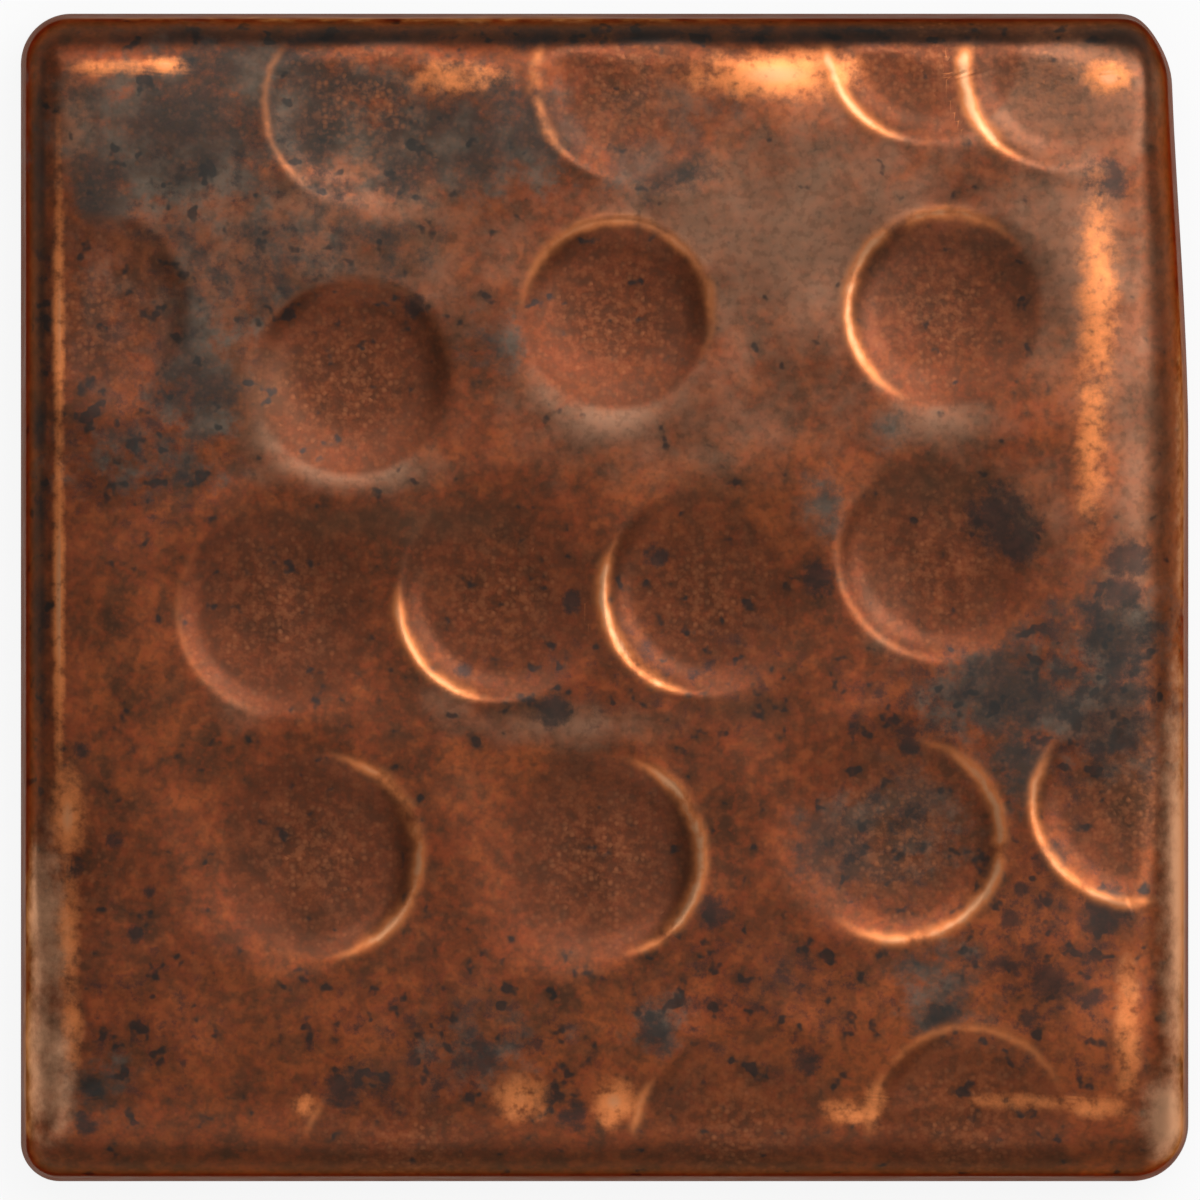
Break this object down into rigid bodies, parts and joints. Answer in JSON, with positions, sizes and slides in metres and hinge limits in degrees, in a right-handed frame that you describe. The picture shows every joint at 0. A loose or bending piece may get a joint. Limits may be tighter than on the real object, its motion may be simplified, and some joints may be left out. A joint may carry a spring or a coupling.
{
  "type": "hammered copper tile",
  "caption": "Square accent tile of hammered copper sheet with a mottled brown patina and edges turned down into a shallow open-backed pan.",
  "frame": {"origin": "middle of the tile, on the plane of the foot of its turned-down edge", "axes": "+Z out of the hammered face, +Y towards the top of the face as pictured, +X to its right"},
  "size_m": [0.0508, 0.0508, 0.0063],
  "materials": {
    "copper": "hammered, mottled brown patina, satin"
  },
  "bodies": {
    "root": {"copper_tile": "copper"}
  },
  "joints": []
}
